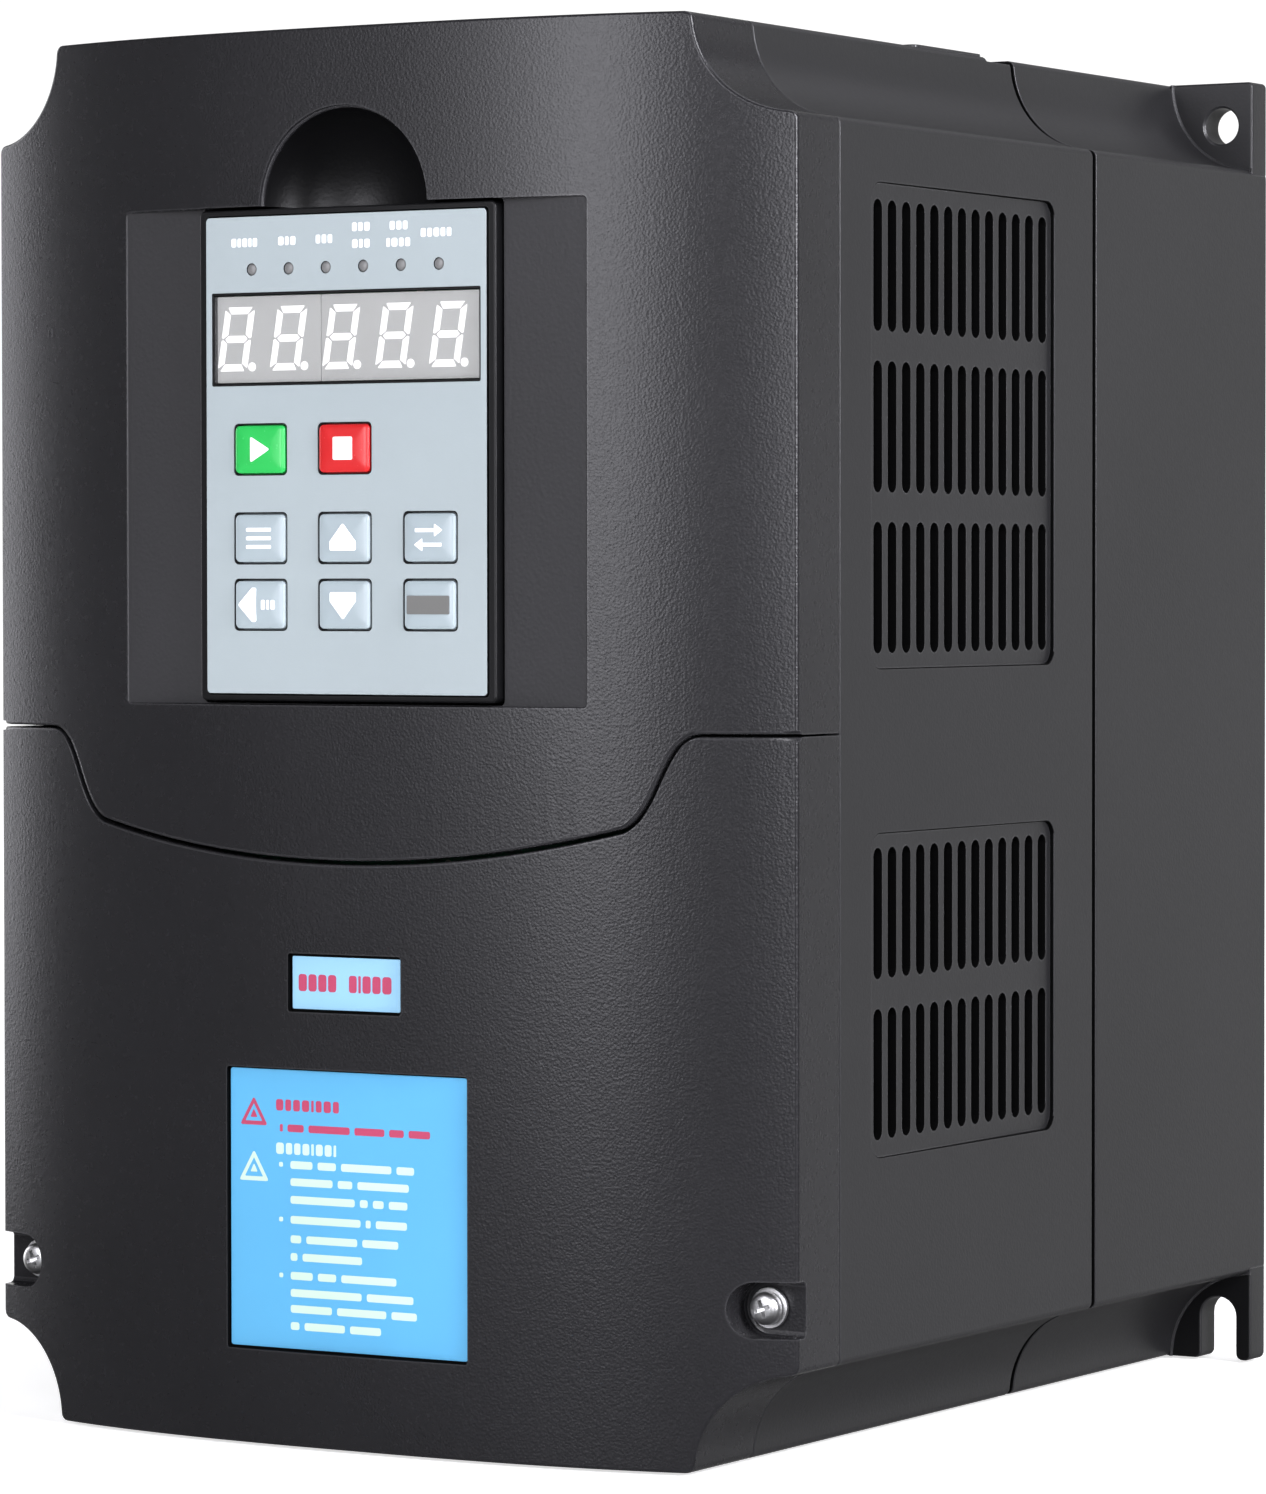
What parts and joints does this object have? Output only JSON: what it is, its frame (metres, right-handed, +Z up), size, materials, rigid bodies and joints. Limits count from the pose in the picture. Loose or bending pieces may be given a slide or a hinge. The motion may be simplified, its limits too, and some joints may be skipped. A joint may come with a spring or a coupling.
{
  "type": "variable frequency drive",
  "caption": "Wall-mounted motor drive: coved charcoal casing with a crowned two-part front, pull-out keypad, side vents, ears and lugs.",
  "frame": {"origin": "middle of the bounding box's footprint, on the bottom face; the mounting face is at Y = +0.099", "axes": "+Z up when hung on the wall, -Y towards the front with the keypad, +X to the right seen from the front"},
  "size_m": [0.166, 0.198, 0.2474],
  "materials": {
    "casing": "fine leather grain, matt, charcoal",
    "keypad_black": "satin black",
    "faceplate": "satin pale blue-grey",
    "display": "mid grey with white segments",
    "clear_film": "clear film",
    "lamp": "grey lens",
    "key_green": "translucent green",
    "key_red": "translucent red",
    "key_grey": "translucent pale grey",
    "label": "printed blue film",
    "screw": "bright nickel plate",
    "heat_sink": "as extruded",
    "can": "sleeved can",
    "module": "black epoxy",
    "circuit_board": "green solder mask",
    "terminal_green": "green",
    "fan": "black",
    "grommet": "black rubber"
  },
  "bodies": {
    "housing": {"rear_housing": "casing", "mid_housing": "casing", "upper_cover": "casing", "fan_guard": "casing", "keypad_socket": "keypad_black", "upper_cover_screw_left": "screw", "upper_cover_screw_right": "screw", "heat_sink": "heat_sink", "bus_capacitor_1": "can", "bus_capacitor_2": "can", "bus_capacitor_3": "can", "bus_capacitor_4": "can", "igbt_module": "module", "rectifier_module": "module", "power_terminal_block": "module", "power_board": "circuit_board", "control_board": "circuit_board", "control_terminal_block": "terminal_green", "fan_frame_left": "fan", "fan_frame_right": "fan", "cable_grommet_left": "grommet", "cable_grommet_middle": "grommet", "cable_grommet_right": "grommet"},
    "terminal_cover": {"terminal_cover": "casing", "cover_screw_left": "screw", "cover_screw_right": "screw", "cover_washer_left": "screw", "cover_washer_right": "screw", "rating_label": "label", "notice_label": "label"},
    "keypad": {"keypad_frame": "keypad_black", "keypad_faceplate": "faceplate", "keypad_board": "circuit_board", "keypad_plug": "keypad_black", "display_window": "clear_film", "display_block_left": "display", "display_block_right": "display", "indicator_1": "lamp", "indicator_2": "lamp", "indicator_3": "lamp", "indicator_4": "lamp", "indicator_5": "lamp", "indicator_6": "lamp"},
    "fan_rotor_left": {"fan_rotor_left": "fan"},
    "fan_rotor_right": {"fan_rotor_right": "fan"},
    "key_run": {"key_run": "key_green"},
    "key_stop": {"key_stop": "key_red"},
    "key_set": {"key_set": "key_grey"},
    "key_up": {"key_up": "key_grey"},
    "key_mode": {"key_mode": "key_grey"},
    "key_shift": {"key_shift": "key_grey"},
    "key_down": {"key_down": "key_grey"},
    "key_enter": {"key_enter": "key_grey"}
  },
  "joints": [
    {"name": "terminal_cover_off", "type": "slide", "parent": "housing", "child": "terminal_cover", "axis": [0, -1, 0], "range_m": [0, 0.06]},
    {"name": "keypad_pull", "type": "slide", "parent": "housing", "child": "keypad", "axis": [0, -1, 0], "range_m": [0, 0.05]},
    {"name": "fan_left_spin", "type": "hinge", "parent": "housing", "child": "fan_rotor_left", "pos_m": [-0.0315, 0.0645, 0.23], "axis": [0, 0, 1], "continuous": true},
    {"name": "fan_right_spin", "type": "hinge", "parent": "housing", "child": "fan_rotor_right", "pos_m": [0.0315, 0.0645, 0.23], "axis": [0, 0, 1], "continuous": true},
    {"name": "key_run_press", "type": "slide", "parent": "keypad", "child": "key_run", "axis": [0, 1, 0], "range_m": [0, 0.0008], "stiffness_N_per_m": 1500},
    {"name": "key_stop_press", "type": "slide", "parent": "keypad", "child": "key_stop", "axis": [0, 1, 0], "range_m": [0, 0.0008], "stiffness_N_per_m": 1500},
    {"name": "key_set_press", "type": "slide", "parent": "keypad", "child": "key_set", "axis": [0, 1, 0], "range_m": [0, 0.0008], "stiffness_N_per_m": 1500},
    {"name": "key_up_press", "type": "slide", "parent": "keypad", "child": "key_up", "axis": [0, 1, 0], "range_m": [0, 0.0008], "stiffness_N_per_m": 1500},
    {"name": "key_mode_press", "type": "slide", "parent": "keypad", "child": "key_mode", "axis": [0, 1, 0], "range_m": [0, 0.0008], "stiffness_N_per_m": 1500},
    {"name": "key_shift_press", "type": "slide", "parent": "keypad", "child": "key_shift", "axis": [0, 1, 0], "range_m": [0, 0.0008], "stiffness_N_per_m": 1500},
    {"name": "key_down_press", "type": "slide", "parent": "keypad", "child": "key_down", "axis": [0, 1, 0], "range_m": [0, 0.0008], "stiffness_N_per_m": 1500},
    {"name": "key_enter_press", "type": "slide", "parent": "keypad", "child": "key_enter", "axis": [0, 1, 0], "range_m": [0, 0.0008], "stiffness_N_per_m": 1500}
  ]
}
